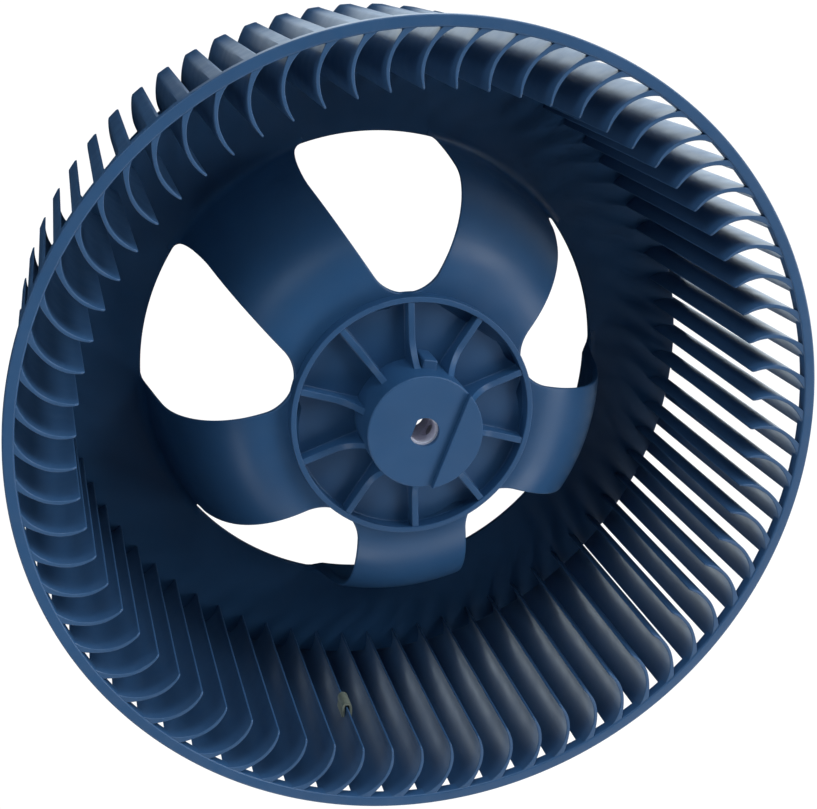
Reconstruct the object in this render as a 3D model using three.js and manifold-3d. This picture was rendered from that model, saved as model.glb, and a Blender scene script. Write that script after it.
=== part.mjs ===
// Centrifugal blower wheel with forward-curved blades: a moulded wheel, its metal hub insert, the set screw
// that grips the motor shaft, and a balance clip. Millimetres, wheel axis along +Z, inlet ring up, origin at
// the bottom centre, where the blades' rear ends stand on a surface.
import * as THREE from "three";
import { mergeVertices } from "three/addons/utils/BufferGeometryUtils.js";
import Module from "manifold-3d";

const wasm = await Module();
wasm.setup();

// ---------- driving dimensions ----------
const GAP = 0.3; // clearance kept between touching pieces
const WHEEL_RADIUS = 125;
const WHEEL_HEIGHT = 100;

const RING_WIDTH = 3.5; // front ring, radially
const RING_DEPTH = 4; // front ring, along the axis
const RING_BEVEL = 0.5;

const BLADE_COUNT = 69;
const BLADES_PER_GROUP = 3;
const GROUP_COUNT = BLADE_COUNT / BLADES_PER_GROUP;
const BLADE_THICKNESS = 1.3;
const BLADE_ARC_RADIUS = 14.3; // curvature of a blade seen along the axis
const BLADE_ARC_CENTRE = { x: 108.75, y: -7.14 }; // in the frame of a blade whose outer end lies on +X
const BLADE_TIP_ANGLE = 108; // where the arc starts, at the blade's inner edge, in degrees
const BLADE_END_ANGLE = 10; // where the arc ends, under the front ring
const BLADE_SWEEP = 3.53; // how far the inner edge is turned back from the outer end, in degrees
const BLADE_REAR_RADIUS = 119.6; // the outer edge is drafted: this radius at the rear end ...
const BLADE_FRONT_RADIUS = 122.6; // ... and this one at the front ring
const BLADE_TIP_RADIUS = 104.5;
const FIRST_TIP_ANGLE = 1.7; // inner edge of the first blade, in degrees from +X

const PLATE_TOP = 15;
const PLATE_THICKNESS = 2.2;
const PLATE_BOTTOM = PLATE_TOP - PLATE_THICKNESS;
const PLATE_RIM_RADIUS = 112; // the plate ends here, so that the blades' outer halves are free behind it
const PLATE_INNER_RADIUS = 79.6;

const ARM_COUNT = 5;
const DOME_WALL = 2.2;
const DOME_TOP = 73.3; // outer surface of the dome beside the hub ring
const SHOULDER_RADIUS = 42; // the dome is flat up to here, and then rolls over
const SHOULDER_PULL = { roll: [62, 73], wall: [73, 52] }; // control points of the roll-over
const WALL_LOW = [76.6, 28]; // the steep wall's lower end, radius and height
const FIRST_WINDOW_ANGLE = 95.5; // degrees from +X
const WINDOW_HALF_ANGLE = 30.7; // each side of a window leans this far from the window's own axis
const WINDOW_NOSE_RADIUS = 11.75;
const WINDOW_CORNER_RADIUS = 6;

const FLOOR_TOP = 73;
const FLOOR_BOTTOM = 70.8;
const HUB_RING_OUTER = 38.8;
const HUB_RING_INNER = 37;
const HUB_RING_TOP = 78;

const BOSS_RADIUS = 17.9;
const BOSS_TOP = 92.5;
const BOSS_STEP = 8.5; // beyond this distance from the axis, on one side, the boss's top is raised ...
const BOSS_STEP_HEIGHT = 1.8; // ... by this much
const BORE_ANGLE = -17.4; // direction of that side, and away from the D-bore's flat, in degrees from +X
const LUG_ANGLE = 83.5; // a small lug on the boss's side, beside the first rib, in degrees from +X
const LUG_REACH = 20.7;
const LUG_WIDTH = 4.6;
const LUG_TOP = 84.5;
const BOSS_FACE_THICKNESS = 1.8; // plastic over the insert's front end

const RIB_COUNT = 10;
const RIB_THICKNESS = 2.2;
const RIB_AT_BOSS = 84.5; // height where a rib meets the boss
const RIB_OUTER_HEIGHT = 77.7;
const RIB_SWEEP_REACH = 5; // the hollow sweep turns up this far from the boss
const FIRST_RIB_ANGLE = FIRST_WINDOW_ANGLE; // every other rib points at a window

const INSERT_RADIUS = 6.5;
const INSERT_BOTTOM = 74.5;
const BORE_RADIUS = 4.1; // D-bore for an 8 mm shaft
const BORE_FLAT = 3.1; // distance of the D's flat from the axis
const BORE_MARGIN = 0.5; // the plastic's D-opening is this much larger all round

const SCREW_RADIUS = 2.4;
const SCREW_LENGTH = 6;
const SCREW_POINT_CHAMFER = 0.8;
const SCREW_HEIGHT = 83; // height of the screw's axis
const SCREW_AFTER_RIB = 3.5; // the screw lies this many rib pitches clockwise from the first rib
const SOCKET_ACROSS_FLATS = 2.5;
const SOCKET_DEPTH = 2.5;

const CLIP_WALL = 0.8;
const CLIP_LENGTH = 8; // along the blade's edge
const CLIP_TOP = 73;
const CLIP_OVERHANG = 5; // degrees of the blade's arc that the clip's bend stands past the edge
const CLIP_BEND = 3.5; // degrees of the arc taken up by the bend's wall
const CLIP_GRIP = 13; // degrees of the arc that the clip's legs cover
const CLIP_BLADE = -19; // which blade carries the clip, counted counter-clockwise from the first

const ROUND_STEPS = 90; // facets around the large rings
const HUB_STEPS = 60; // facets around the dome, the hub and the insert
const CURVE_STEPS = 6; // facets along the dome's roll-over, a rib's sweep and a window's corners
const BLADE_STEPS = 6; // facets along a blade's arc
const CLIP_STEPS = 4;
const BORE_STEPS = 18;
const SCREW_STEPS = 24;
const FACET_SAG = 0.1; // how far the chords of a blade group's plate cut inside their arc

// ---------- materials ----------
const plastic = (color, roughness) => new THREE.MeshStandardMaterial({ color, roughness, metalness: 0 });
const metal = (color, roughness) => new THREE.MeshStandardMaterial({ color, roughness, metalness: 1 });
const materials = {
  ring: plastic(0x3c5f86, 0.4),
  blades: plastic(0x2f4f76, 0.35),
  dome: plastic(0x35587f, 0.45),
  hub: plastic(0x31537b, 0.45),
  steel: metal(0xa9a7b2, 0.3),
  screw: metal(0xb9b9c0, 0.35),
  clip: metal(0xb4beb0, 0.4),
};

// ---------- helpers ----------
const radians = THREE.MathUtils.degToRad;
const polar = (radius, angle) => new THREE.Vector2(radius * Math.cos(angle), radius * Math.sin(angle));

function toSolid(geometry) {
  const bare = geometry.clone();
  bare.deleteAttribute("normal");
  bare.deleteAttribute("uv");
  const merged = mergeVertices(bare, 1e-4);
  const vertProperties = new Float32Array(merged.attributes.position.array);
  const triVerts = new Uint32Array(merged.index.array);
  return new wasm.Manifold(new wasm.Mesh({ numProp: 3, vertProperties, triVerts }));
}

function toGeometry(solid) {
  const mesh = solid.getMesh();
  const geometry = new THREE.BufferGeometry();
  geometry.setAttribute("position", new THREE.BufferAttribute(mesh.vertProperties, 3));
  geometry.setIndex(new THREE.BufferAttribute(mesh.triVerts, 1));
  geometry.computeVertexNormals();
  return geometry;
}

// A body turned about Z from a closed loop of [radius, height] corners.
function turned(corners, steps) {
  const points = [...corners, corners[0]].map(([radius, height]) => new THREE.Vector2(radius, height));
  if (THREE.ShapeUtils.area(points) < 0) points.reverse();
  return new THREE.LatheGeometry(points, steps).rotateX(Math.PI / 2);
}

function ringBetween(inner, outer, bottom, top, steps = ROUND_STEPS) {
  return turned([[inner, bottom], [outer, bottom], [outer, top], [inner, top]], steps);
}

// A flat outline in X and Y, raised from one height to another.
function raised(points, bottom, top) {
  const shape = new THREE.Shape(points);
  const block = new THREE.ExtrudeGeometry(shape, { depth: top - bottom, bevelEnabled: false });
  return block.translate(0, 0, bottom);
}

// An upright plate along +X: its outline holds [radius, height] corners, and it is centred on the X axis.
function uprightPlate(corners, thickness) {
  const shape = new THREE.Shape(corners.map(([radius, height]) => new THREE.Vector2(radius, height)));
  const plate = new THREE.ExtrudeGeometry(shape, { depth: thickness, bevelEnabled: false });
  return plate.translate(0, 0, -thickness / 2).rotateX(Math.PI / 2);
}

const wheel = new THREE.Group();

function addPiece(name, geometry, material, turn = 0) {
  const mesh = new THREE.Mesh(geometry, material.clone());
  mesh.name = name;
  mesh.rotation.z = turn;
  wheel.add(mesh);
}

const numbered = (name, index) => `${name}_${String(index + 1).padStart(2, "0")}`;

// ---------- front ring ----------
function frontRing() {
  const inner = WHEEL_RADIUS - RING_WIDTH;
  const bottom = WHEEL_HEIGHT - RING_DEPTH;
  return turned(
    [
      [inner, bottom],
      [WHEEL_RADIUS, bottom],
      [WHEEL_RADIUS, WHEEL_HEIGHT - RING_BEVEL],
      [WHEEL_RADIUS - RING_BEVEL, WHEEL_HEIGHT],
      [inner, WHEEL_HEIGHT],
    ],
    ROUND_STEPS,
  );
}

// ---------- blades ----------
// A point of the blade's section, given by its angle on the arc and its distance from the arc's middle line.
function bladePoint(angle, offset) {
  const point = polar(BLADE_ARC_RADIUS + offset, angle);
  return point.add(new THREE.Vector2(BLADE_ARC_CENTRE.x, BLADE_ARC_CENTRE.y));
}

// The outline of a strip that follows the blade's arc between two angles (degrees).
function arcStrip(fromAngle, toAngle, halfThickness, steps) {
  const step = (toAngle - fromAngle) / steps;
  const angles = Array.from({ length: steps + 1 }, (_, i) => radians(fromAngle + i * step));
  const outside = angles.map((angle) => bladePoint(angle, halfThickness));
  const inside = angles.map((angle) => bladePoint(angle, -halfThickness));
  return [...outside, ...inside.reverse()];
}

// One blade with its inner edge on +X. It passes inside the front ring and ends under it, and its outer part is
// drawn in evenly towards the rear, as the mould tapers.
function bladeSolid() {
  const section = arcStrip(BLADE_TIP_ANGLE, BLADE_END_ANGLE, BLADE_THICKNESS / 2, BLADE_STEPS);
  const rearShare = (BLADE_REAR_RADIUS - BLADE_TIP_RADIUS) / (BLADE_FRONT_RADIUS - BLADE_TIP_RADIUS);
  const uncut = toSolid(raised(section, 0, WHEEL_HEIGHT - GAP)).warp((point) => {
    const radius = Math.hypot(point[0], point[1]);
    const depth = Math.max(0, radius - BLADE_TIP_RADIUS);
    const draw = (1 - rearShare) * (1 - point[2] / WHEEL_HEIGHT);
    const scale = (radius - depth * draw) / radius;
    point[0] *= scale;
    point[1] *= scale;
  });
  const draftProfile = [
    [0, -1],
    [BLADE_REAR_RADIUS, 0],
    [BLADE_FRONT_RADIUS, WHEEL_HEIGHT],
    [0, WHEEL_HEIGHT + 1],
  ];
  const draft = toSolid(turned(draftProfile, ROUND_STEPS));
  const ringRoom = toSolid(
    ringBetween(
      WHEEL_RADIUS - RING_WIDTH - GAP,
      WHEEL_RADIUS + 1,
      WHEEL_HEIGHT - RING_DEPTH - GAP,
      WHEEL_HEIGHT + 1,
    ),
  );
  return uncut.intersect(draft).subtract(ringRoom).rotate([0, 0, -BLADE_SWEEP]);
}

const BLADE_PITCH = 360 / BLADE_COUNT;
const CARRIER_INNER = BLADE_TIP_RADIUS;

// Three blades on their stretch of the back plate's rim.
function bladeGroup() {
  const span = radians(BLADE_PITCH * BLADES_PER_GROUP) - GAP / CARRIER_INNER;
  const start = radians(-BLADE_PITCH / 2) + GAP / CARRIER_INNER / 2;
  const outline = new THREE.Path();
  outline.absarc(0, 0, PLATE_RIM_RADIUS, start, start + span, false);
  outline.absarc(0, 0, CARRIER_INNER, start + span, start, true);
  let group = toSolid(raised(outline.getPoints(BLADES_PER_GROUP), PLATE_BOTTOM, PLATE_TOP));
  const blade = bladeSolid();
  for (let i = 0; i < BLADES_PER_GROUP; i += 1) group = group.add(blade.rotate([0, 0, i * BLADE_PITCH]));
  return toGeometry(group);
}

// ---------- back plate ----------
const PLATE_JOINT = CARRIER_INNER - GAP - FACET_SAG;
const backPlate = () => ringBetween(PLATE_INNER_RADIUS, PLATE_JOINT, PLATE_BOTTOM, PLATE_TOP);

// ---------- dome arms ----------
// The dome's section: flat beside the hub, rolled over a shoulder, then a steep wall down to the back plate.
function domeSection() {
  const footRadius = PLATE_INNER_RADIUS - GAP;
  const curve = new THREE.CubicBezierCurve(
    new THREE.Vector2(SHOULDER_RADIUS, DOME_TOP),
    new THREE.Vector2(...SHOULDER_PULL.roll),
    new THREE.Vector2(...SHOULDER_PULL.wall),
    new THREE.Vector2(...WALL_LOW),
  );
  const outer = [new THREE.Vector2(HUB_RING_OUTER + GAP, DOME_TOP), ...curve.getPoints(CURVE_STEPS)];
  outer.push(new THREE.Vector2(footRadius, PLATE_TOP), new THREE.Vector2(footRadius, PLATE_BOTTOM));
  const inner = outer.map((point, i) => {
    const before = outer[Math.max(i - 1, 0)];
    const after = outer[Math.min(i + 1, outer.length - 1)];
    const along = after.clone().sub(before).normalize();
    return new THREE.Vector2(point.x + along.y * DOME_WALL, point.y - along.x * DOME_WALL);
  });
  inner[0].x = outer[0].x;
  inner[inner.length - 1].set(footRadius - DOME_WALL, PLATE_BOTTOM);
  return [...outer, ...inner.reverse()].map((point) => [point.x, point.y]);
}

// A window's outline about +X: a round nose at the hub, straight sides, rounded corners, and an outer end on
// the plate's inner circle.
function windowOutline() {
  const lean = radians(WINDOW_HALF_ANGLE);
  const noseTip = HUB_RING_OUTER;
  const noseCentre = noseTip + WINDOW_NOSE_RADIUS;
  const sideOffset = WINDOW_NOSE_RADIUS - noseCentre * Math.sin(lean); // of a side, along its outward normal
  const cornerOffset = sideOffset - WINDOW_CORNER_RADIUS;
  const cornerReach = PLATE_INNER_RADIUS + GAP - WINDOW_CORNER_RADIUS;
  const alongSide = Math.sqrt(cornerReach ** 2 - cornerOffset ** 2);
  const corner = new THREE.Vector2(
    alongSide * Math.cos(lean) - cornerOffset * Math.sin(lean),
    alongSide * Math.sin(lean) + cornerOffset * Math.cos(lean),
  );
  const outline = new THREE.Path();
  outline.absarc(noseCentre, 0, WINDOW_NOSE_RADIUS, Math.PI / 2 + lean, (3 * Math.PI) / 2 - lean, false);
  outline.absarc(corner.x, -corner.y, WINDOW_CORNER_RADIUS, -Math.PI / 2 - lean, -corner.angle(), false);
  outline.absarc(0, 0, cornerReach + WINDOW_CORNER_RADIUS, -corner.angle(), corner.angle(), false);
  outline.absarc(corner.x, corner.y, WINDOW_CORNER_RADIUS, corner.angle(), Math.PI / 2 + lean, false);
  return outline.getPoints(CURVE_STEPS);
}

// One arm on +X: the dome's sector between two windows.
function domeArm() {
  const sector = (2 * Math.PI) / ARM_COUNT;
  const dome = toSolid(turned(domeSection(), HUB_STEPS));
  const axis = new THREE.Vector2(0, 0);
  const sides = [polar(WHEEL_RADIUS, -sector / 2), polar(WHEEL_RADIUS, sector / 2)];
  const wedge = toSolid(raised([axis, ...sides], 0, WHEEL_HEIGHT));
  const opening = toSolid(raised(windowOutline(), 0, WHEEL_HEIGHT));
  const half = 180 / ARM_COUNT;
  return toGeometry(
    dome.intersect(wedge).subtract(opening.rotate([0, 0, half])).subtract(opening.rotate([0, 0, -half])),
  );
}

// ---------- hub ----------
const RIB_START = BOSS_RADIUS + GAP;
const RIB_END = HUB_RING_INNER - GAP;
const RIB_BOTTOM = FLOOR_TOP + GAP;

const hubFloor = () => ringBetween(RIB_START, RIB_END, FLOOR_BOTTOM, FLOOR_TOP, HUB_STEPS);
const hubRing = () => ringBetween(HUB_RING_INNER, HUB_RING_OUTER, FLOOR_BOTTOM, HUB_RING_TOP, HUB_STEPS);

// A rib on +X sweeps up to the boss along a hollow curve.
function hubRib() {
  const sweep = new THREE.QuadraticBezierCurve(
    new THREE.Vector2(RIB_END, RIB_OUTER_HEIGHT),
    new THREE.Vector2(RIB_START + RIB_SWEEP_REACH, RIB_OUTER_HEIGHT),
    new THREE.Vector2(RIB_START, RIB_AT_BOSS),
  );
  const top = sweep.getPoints(CURVE_STEPS).map((point) => [point.x, point.y]);
  return uprightPlate([[RIB_START, RIB_BOTTOM], [RIB_END, RIB_BOTTOM], ...top], RIB_THICKNESS);
}

// A D-shaped outline about the axis, with its flat facing -X.
function dOutline(radius, flat) {
  const half = Math.acos(flat / radius);
  const outline = new THREE.Path();
  outline.absarc(0, 0, radius, -Math.PI + half, Math.PI - half, false);
  return outline.getPoints(BORE_STEPS);
}

const SCREW_ANGLE = FIRST_RIB_ANGLE - (SCREW_AFTER_RIB * 360) / RIB_COUNT;

// The screw's hole, for a boss or insert that is built with the D-bore's flat facing -X.
const screwHole = (radius) =>
  toSolid(new THREE.CylinderGeometry(radius, radius, WHEEL_RADIUS, SCREW_STEPS))
    .rotate([0, 0, 90])
    .translate([WHEEL_RADIUS / 2, 0, SCREW_HEIGHT])
    .rotate([0, 0, SCREW_ANGLE - BORE_ANGLE]);

// The boss, with its raised side on +X: round, open at the back, with a D-opening in front.
function boss() {
  const room = INSERT_RADIUS + GAP;
  const profile = [
    [0, FLOOR_BOTTOM],
    [BOSS_RADIUS, FLOOR_BOTTOM],
    [BOSS_RADIUS, BOSS_TOP],
    [0, BOSS_TOP],
  ];
  const body = toSolid(turned(profile, HUB_STEPS));
  const raisedTop = BOSS_TOP + BOSS_STEP_HEIGHT;
  const disc = [
    [0, FLOOR_TOP],
    [BOSS_RADIUS, FLOOR_TOP],
    [BOSS_RADIUS, raisedTop],
    [0, raisedTop],
  ];
  const step = toSolid(turned(disc, HUB_STEPS));
  const beyondStep = toSolid(
    new THREE.BoxGeometry(BOSS_RADIUS, 2 * BOSS_RADIUS, WHEEL_HEIGHT).translate(
      BOSS_STEP + BOSS_RADIUS / 2,
      0,
      WHEEL_HEIGHT / 2,
    ),
  );
  const lugBottom = FLOOR_TOP + GAP;
  const lug = toSolid(
    new THREE.BoxGeometry(LUG_REACH, LUG_WIDTH, LUG_TOP - lugBottom).translate(
      LUG_REACH / 2,
      0,
      (LUG_TOP + lugBottom) / 2,
    ),
  ).rotate([0, 0, LUG_ANGLE - BORE_ANGLE]);
  const pocketTop = BOSS_TOP - BOSS_FACE_THICKNESS;
  const pocket = toSolid(turned([[0, 0], [room, 0], [room, pocketTop], [0, pocketTop]], HUB_STEPS));
  const outline = dOutline(BORE_RADIUS + BORE_MARGIN, BORE_FLAT + BORE_MARGIN);
  const opening = toSolid(raised(outline, 0, WHEEL_HEIGHT));
  const whole = body.add(step.intersect(beyondStep)).add(lug);
  return toGeometry(whole.subtract(pocket).subtract(opening).subtract(screwHole(SCREW_RADIUS + 2 * GAP)));
}

function hubInsert() {
  const top = BOSS_TOP - BOSS_FACE_THICKNESS - GAP;
  const body = toSolid(
    turned([[0, INSERT_BOTTOM], [INSERT_RADIUS, INSERT_BOTTOM], [INSERT_RADIUS, top], [0, top]], HUB_STEPS),
  );
  const bore = toSolid(raised(dOutline(BORE_RADIUS, BORE_FLAT), 0, WHEEL_HEIGHT));
  return toGeometry(body.subtract(bore).subtract(screwHole(SCREW_RADIUS + GAP)));
}

// The set screw on the X axis, its point at the bore and its hex socket outwards.
function setScrew() {
  const profile = [
    [0, 0],
    [SCREW_RADIUS - SCREW_POINT_CHAMFER, 0],
    [SCREW_RADIUS, SCREW_POINT_CHAMFER],
    [SCREW_RADIUS, SCREW_LENGTH],
    [0, SCREW_LENGTH],
  ];
  const pointed = toSolid(turned(profile, SCREW_STEPS));
  const corner = SOCKET_ACROSS_FLATS / Math.sqrt(3);
  const hexagon = Array.from({ length: 6 }, (_, i) => polar(corner, (i * Math.PI) / 3));
  const socket = toSolid(raised(hexagon, SCREW_LENGTH - SOCKET_DEPTH, SCREW_LENGTH + 1));
  const start = BORE_RADIUS + GAP;
  return toGeometry(pointed.subtract(socket).rotate([0, 90, 0]).translate([start, 0, SCREW_HEIGHT]));
}

// ---------- balance clip ----------
// A spring clip of U section pushed over a blade's inner edge, where that edge lies on +X.
function balanceClip() {
  const room = BLADE_THICKNESS / 2 + GAP;
  const bend = BLADE_TIP_ANGLE + CLIP_OVERHANG;
  const legEnd = BLADE_TIP_ANGLE - CLIP_GRIP;
  const outside = arcStrip(bend, legEnd, room + CLIP_WALL, CLIP_STEPS);
  const inside = arcStrip(bend - CLIP_BEND, legEnd - 1, room, CLIP_STEPS);
  const block = toSolid(raised(outside, 0, CLIP_LENGTH));
  const clip = block.subtract(toSolid(raised(inside, -1, CLIP_LENGTH + 1)));
  return toGeometry(clip.rotate([0, 0, -BLADE_SWEEP]).translate([0, 0, CLIP_TOP - CLIP_LENGTH]));
}

// ---------- the wheel ----------
addPiece("front_ring", frontRing(), materials.ring);

const groupGeometry = bladeGroup();
for (let i = 0; i < GROUP_COUNT; i += 1) {
  const turn = radians(FIRST_TIP_ANGLE + i * BLADES_PER_GROUP * BLADE_PITCH);
  addPiece(numbered("blade_group", i), groupGeometry, materials.blades, turn);
}

addPiece("back_plate", backPlate(), materials.dome);

const armGeometry = domeArm();
for (let i = 0; i < ARM_COUNT; i += 1) {
  const turn = radians(FIRST_WINDOW_ANGLE - ((i + 0.5) * 360) / ARM_COUNT);
  addPiece(numbered("dome_arm", i), armGeometry, materials.dome, turn);
}

addPiece("hub_floor", hubFloor(), materials.hub);
addPiece("hub_ring", hubRing(), materials.hub);

const ribGeometry = hubRib();
for (let i = 0; i < RIB_COUNT; i += 1) {
  const turn = radians(FIRST_RIB_ANGLE - (i * 360) / RIB_COUNT);
  addPiece(numbered("hub_rib", i), ribGeometry, materials.hub, turn);
}

addPiece("hub_boss", boss(), materials.hub, radians(BORE_ANGLE));
addPiece("hub_insert", hubInsert(), materials.steel, radians(BORE_ANGLE));
addPiece("set_screw", setScrew(), materials.screw, radians(SCREW_ANGLE));

const clipTurn = radians(FIRST_TIP_ANGLE + CLIP_BLADE * BLADE_PITCH);
addPiece("balance_clip", balanceClip(), materials.clip, clipTurn);

export default wheel;
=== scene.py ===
import math

import bmesh
import bpy
import numpy as np
from mathutils import Matrix, Vector


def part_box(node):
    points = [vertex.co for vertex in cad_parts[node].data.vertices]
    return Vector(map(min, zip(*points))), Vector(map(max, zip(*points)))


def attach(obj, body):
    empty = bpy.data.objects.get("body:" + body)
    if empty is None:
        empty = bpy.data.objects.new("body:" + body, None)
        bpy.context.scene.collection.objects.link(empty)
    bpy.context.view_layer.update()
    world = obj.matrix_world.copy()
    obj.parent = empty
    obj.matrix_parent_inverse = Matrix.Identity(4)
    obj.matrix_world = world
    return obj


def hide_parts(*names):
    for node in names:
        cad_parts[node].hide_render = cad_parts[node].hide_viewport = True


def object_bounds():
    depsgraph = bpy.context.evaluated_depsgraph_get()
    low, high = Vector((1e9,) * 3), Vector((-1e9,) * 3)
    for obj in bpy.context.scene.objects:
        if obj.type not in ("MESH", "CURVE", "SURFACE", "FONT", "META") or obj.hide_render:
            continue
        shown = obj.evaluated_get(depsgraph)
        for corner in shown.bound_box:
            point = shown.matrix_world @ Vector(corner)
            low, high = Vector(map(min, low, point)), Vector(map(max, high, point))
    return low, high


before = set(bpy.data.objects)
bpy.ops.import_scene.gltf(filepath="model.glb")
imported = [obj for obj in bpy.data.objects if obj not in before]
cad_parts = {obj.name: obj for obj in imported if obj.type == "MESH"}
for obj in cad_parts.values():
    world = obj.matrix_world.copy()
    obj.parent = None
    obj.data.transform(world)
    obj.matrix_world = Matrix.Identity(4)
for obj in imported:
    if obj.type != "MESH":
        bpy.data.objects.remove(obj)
cad_low, cad_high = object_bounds()

MM = 0.001
TURN = 2 * math.pi
QUARTER = math.pi / 2

# ---------- places and sizes read from the frame ----------
ring_low, ring_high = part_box("front_ring")
plate_low, plate_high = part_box("back_plate")
floor_low, floor_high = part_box("hub_floor")
_, rim_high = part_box("hub_ring")
_, boss_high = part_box("hub_boss")
insert_low, insert_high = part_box("hub_insert")
screw_low, screw_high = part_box("set_screw")
clip_low, clip_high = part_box("balance_clip")
_, arm_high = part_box("dome_arm_01")

RING_OUTER = min(ring_high.x, ring_high.y)
RING_TOP = ring_high.z
RING_BOTTOM = ring_low.z
PLATE_TOP = plate_high.z
PLATE_BOTTOM = plate_low.z
FLOOR_TOP = floor_high.z
FLOOR_BOTTOM = floor_low.z
RIM_OUTER = min(rim_high.x, rim_high.y)
RIM_TOP = rim_high.z
BOSS_STEP_TOP = boss_high.z
DOME_TOP = arm_high.z
SCREW_HEIGHT = (screw_low.z + screw_high.z) / 2

# ---------- ring, blades and back plate: what the boxes don't give ----------
RING_WIDTH = 3.5 * MM
RING_EDGE = 0.6 * MM

BLADE_COUNT = 69
BLADES_PER_GROUP = 3
BLADE_THICKNESS = 1.15 * MM
BLADE_ARC_RADIUS = 14.3 * MM
BLADE_ARC_CENTRE = Vector((108.75 * MM, -7.14 * MM))
BLADE_TIP_ANGLE = math.radians(108)
BLADE_END_ANGLE = math.radians(15)
BLADE_SWEEP = math.radians(3.53)
BLADE_TIP_RADIUS = 104.5 * MM
BLADE_REAR_RADIUS = 119.6 * MM
BLADE_FRONT_RADIUS = 122.6 * MM
FIRST_TIP_ANGLE = math.radians(1.7)
BLADE_TOP = RING_TOP - 0.3 * MM
BLADE_EDGE = 0.3 * MM
BLADE_CORNER = 0.8 * MM
BLADE_ARC_STEPS = 26
BLADE_NOSE_STEPS = 6

# A blade gets thinner towards its inner edge, and thicker on its outer side towards its outer end.
TIP_THINNING = 0.4
TIP_THINNING_ANGLE = math.radians(18)
END_SWELL = 1.4 * MM
END_SWELL_START = math.radians(62)
END_SWELL_REACH = math.radians(35)

PLATE_RIM_RADIUS = 112 * MM
PLATE_INNER_RADIUS = 79.6 * MM
PLATE_EDGE = 0.5 * MM

# ---------- dome arms: curves are given as (radius, height) ----------
ARM_COUNT = 5
DOME_WALL = 2.2 * MM
SHOULDER_RADIUS = 42 * MM
SHOULDER_PULL = ((62 * MM, 73 * MM), (73 * MM, 52 * MM))
WALL_LOW = (76.6 * MM, 28 * MM)
FOOT = ((78.4 * MM, 18 * MM), (79.0 * MM, 15.1 * MM), (82 * MM, 15.02 * MM))
FIRST_WINDOW_ANGLE = math.radians(95.5)
WINDOW_HALF_ANGLE = math.radians(30.7)
WINDOW_NOSE_RADIUS = 11.75 * MM
WINDOW_CORNER_RADIUS = 6 * MM
WINDOW_MARGIN = 0.3 * MM  # how far the windows reach past the back plate's inner edge
ARM_EDGE = 0.7 * MM
ARM_EDGE_STEPS = 4
ARM_COLUMNS = 36
# Where the dome is steep, the cut edge leans in under the arm by this share of its depth.
ARM_UNDERCUT = 0.9

# ---------- hub ----------
FLOOR_EDGE = 0.2 * MM
RIM_WALL = 1.8 * MM
RIM_FILLET = 0.5 * MM
RIM_EDGE = 0.35 * MM

BOSS_RADIUS = 17.9 * MM
BOSS_EDGE = 0.6 * MM
BOSS_STEP = 8.5 * MM  # beyond this distance to one side of the axis the boss is higher
BOSS_STEP_HEIGHT = 1.8 * MM
BOSS_STEP_EDGE = 0.35 * MM
BOSS_STEP_ROOT = 6 * MM  # how deep the higher side's own body reaches into the boss
BOSS_TOP = BOSS_STEP_TOP - BOSS_STEP_HEIGHT
BOSS_FACE_THICKNESS = 1.8 * MM
BORE_ANGLE = math.radians(-17.4)  # the way the boss's higher side faces
LUG_ANGLE = math.radians(83.5)
LUG_START = 10 * MM
LUG_REACH = 20.7 * MM
LUG_WIDTH = 4.6 * MM
LUG_TOP = 84.5 * MM
LUG_CORNER = 0.8 * MM
LUG_EDGE = 0.5 * MM

RIB_COUNT = 10
RIB_PITCH = TURN / RIB_COUNT
RIB_THICKNESS = 2.2 * MM
RIB_TOP_SHARE = 0.96  # a rib is a little thinner along its top
RIB_AT_BOSS = 84.5 * MM
RIB_OUTER_HEIGHT = 77.7 * MM
RIB_SWEEP = 9.5 * MM
RIB_SWEEP_POWER = 2.2
RIB_FILLET = 0.35 * MM
RIB_CROWN = 0.3 * MM
RIB_STEPS = 28
RIB_STEP_POWER = 1.3  # puts the sections closer together near the boss
SUNK = 0.5 * MM  # how deep the ribs and the lug reach into the hub floor
FLOOR_LAP = 0.6 * MM  # how far the hub floor reaches into the boss
RIB_LAP = 1.2 * MM  # how far the ribs reach into the boss

# ---------- metal pieces ----------
INSERT_RADIUS = 6.5 * MM
INSERT_EDGE = 0.3 * MM
BORE_RADIUS = 4.1 * MM
BORE_FLAT = 3.1 * MM
BORE_MARGIN = 0.5 * MM
FIT_GAP = 0.3 * MM
CUTTER_BOTTOM = 50 * MM  # below the boss and the insert
CUTTER_EXCESS = 10 * MM
SCREW_HOLE_REACH = 40 * MM
SCREW_RADIUS = 2.4 * MM
SCREW_LENGTH = 6 * MM
SCREW_PITCH = 0.8 * MM
SCREW_POINT = 0.8 * MM
THREAD_DEPTH = 0.32 * MM
SCREW_ANGLE = FIRST_WINDOW_ANGLE - 3.5 * RIB_PITCH
SOCKET_RADIUS = 1.44 * MM
SOCKET_DEPTH = 2.5 * MM
CLIP_WALL = 0.8 * MM
CLIP_BLADE = -19  # counted back from the first blade
CLIP_BEND = math.radians(1.5)  # the clip's bend lies this far past the blade's inner edge
CLIP_REACH = math.radians(13)  # its legs reach this far along the blade

# ---------- colours, stage, lamps and camera ----------
NAVY = (0.019, 0.081, 0.200)
NAVY_DARK = (0.016, 0.071, 0.178)
# grey mixed into the plastic's colour: partly real dust, partly a painted sheen that greys the blades and the
# ring
DUST_AND_SHEEN = (0.16, 0.20, 0.25)
BRIGHT = (0.84, 0.84, 0.95)
STEEL = (0.60, 0.60, 0.64)
ZINC = (0.36, 0.39, 0.31)
WHITE = (1, 1, 1)
COOL = (0.80, 0.92, 1)
SKY = (0.95, 0.98, 1)

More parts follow.
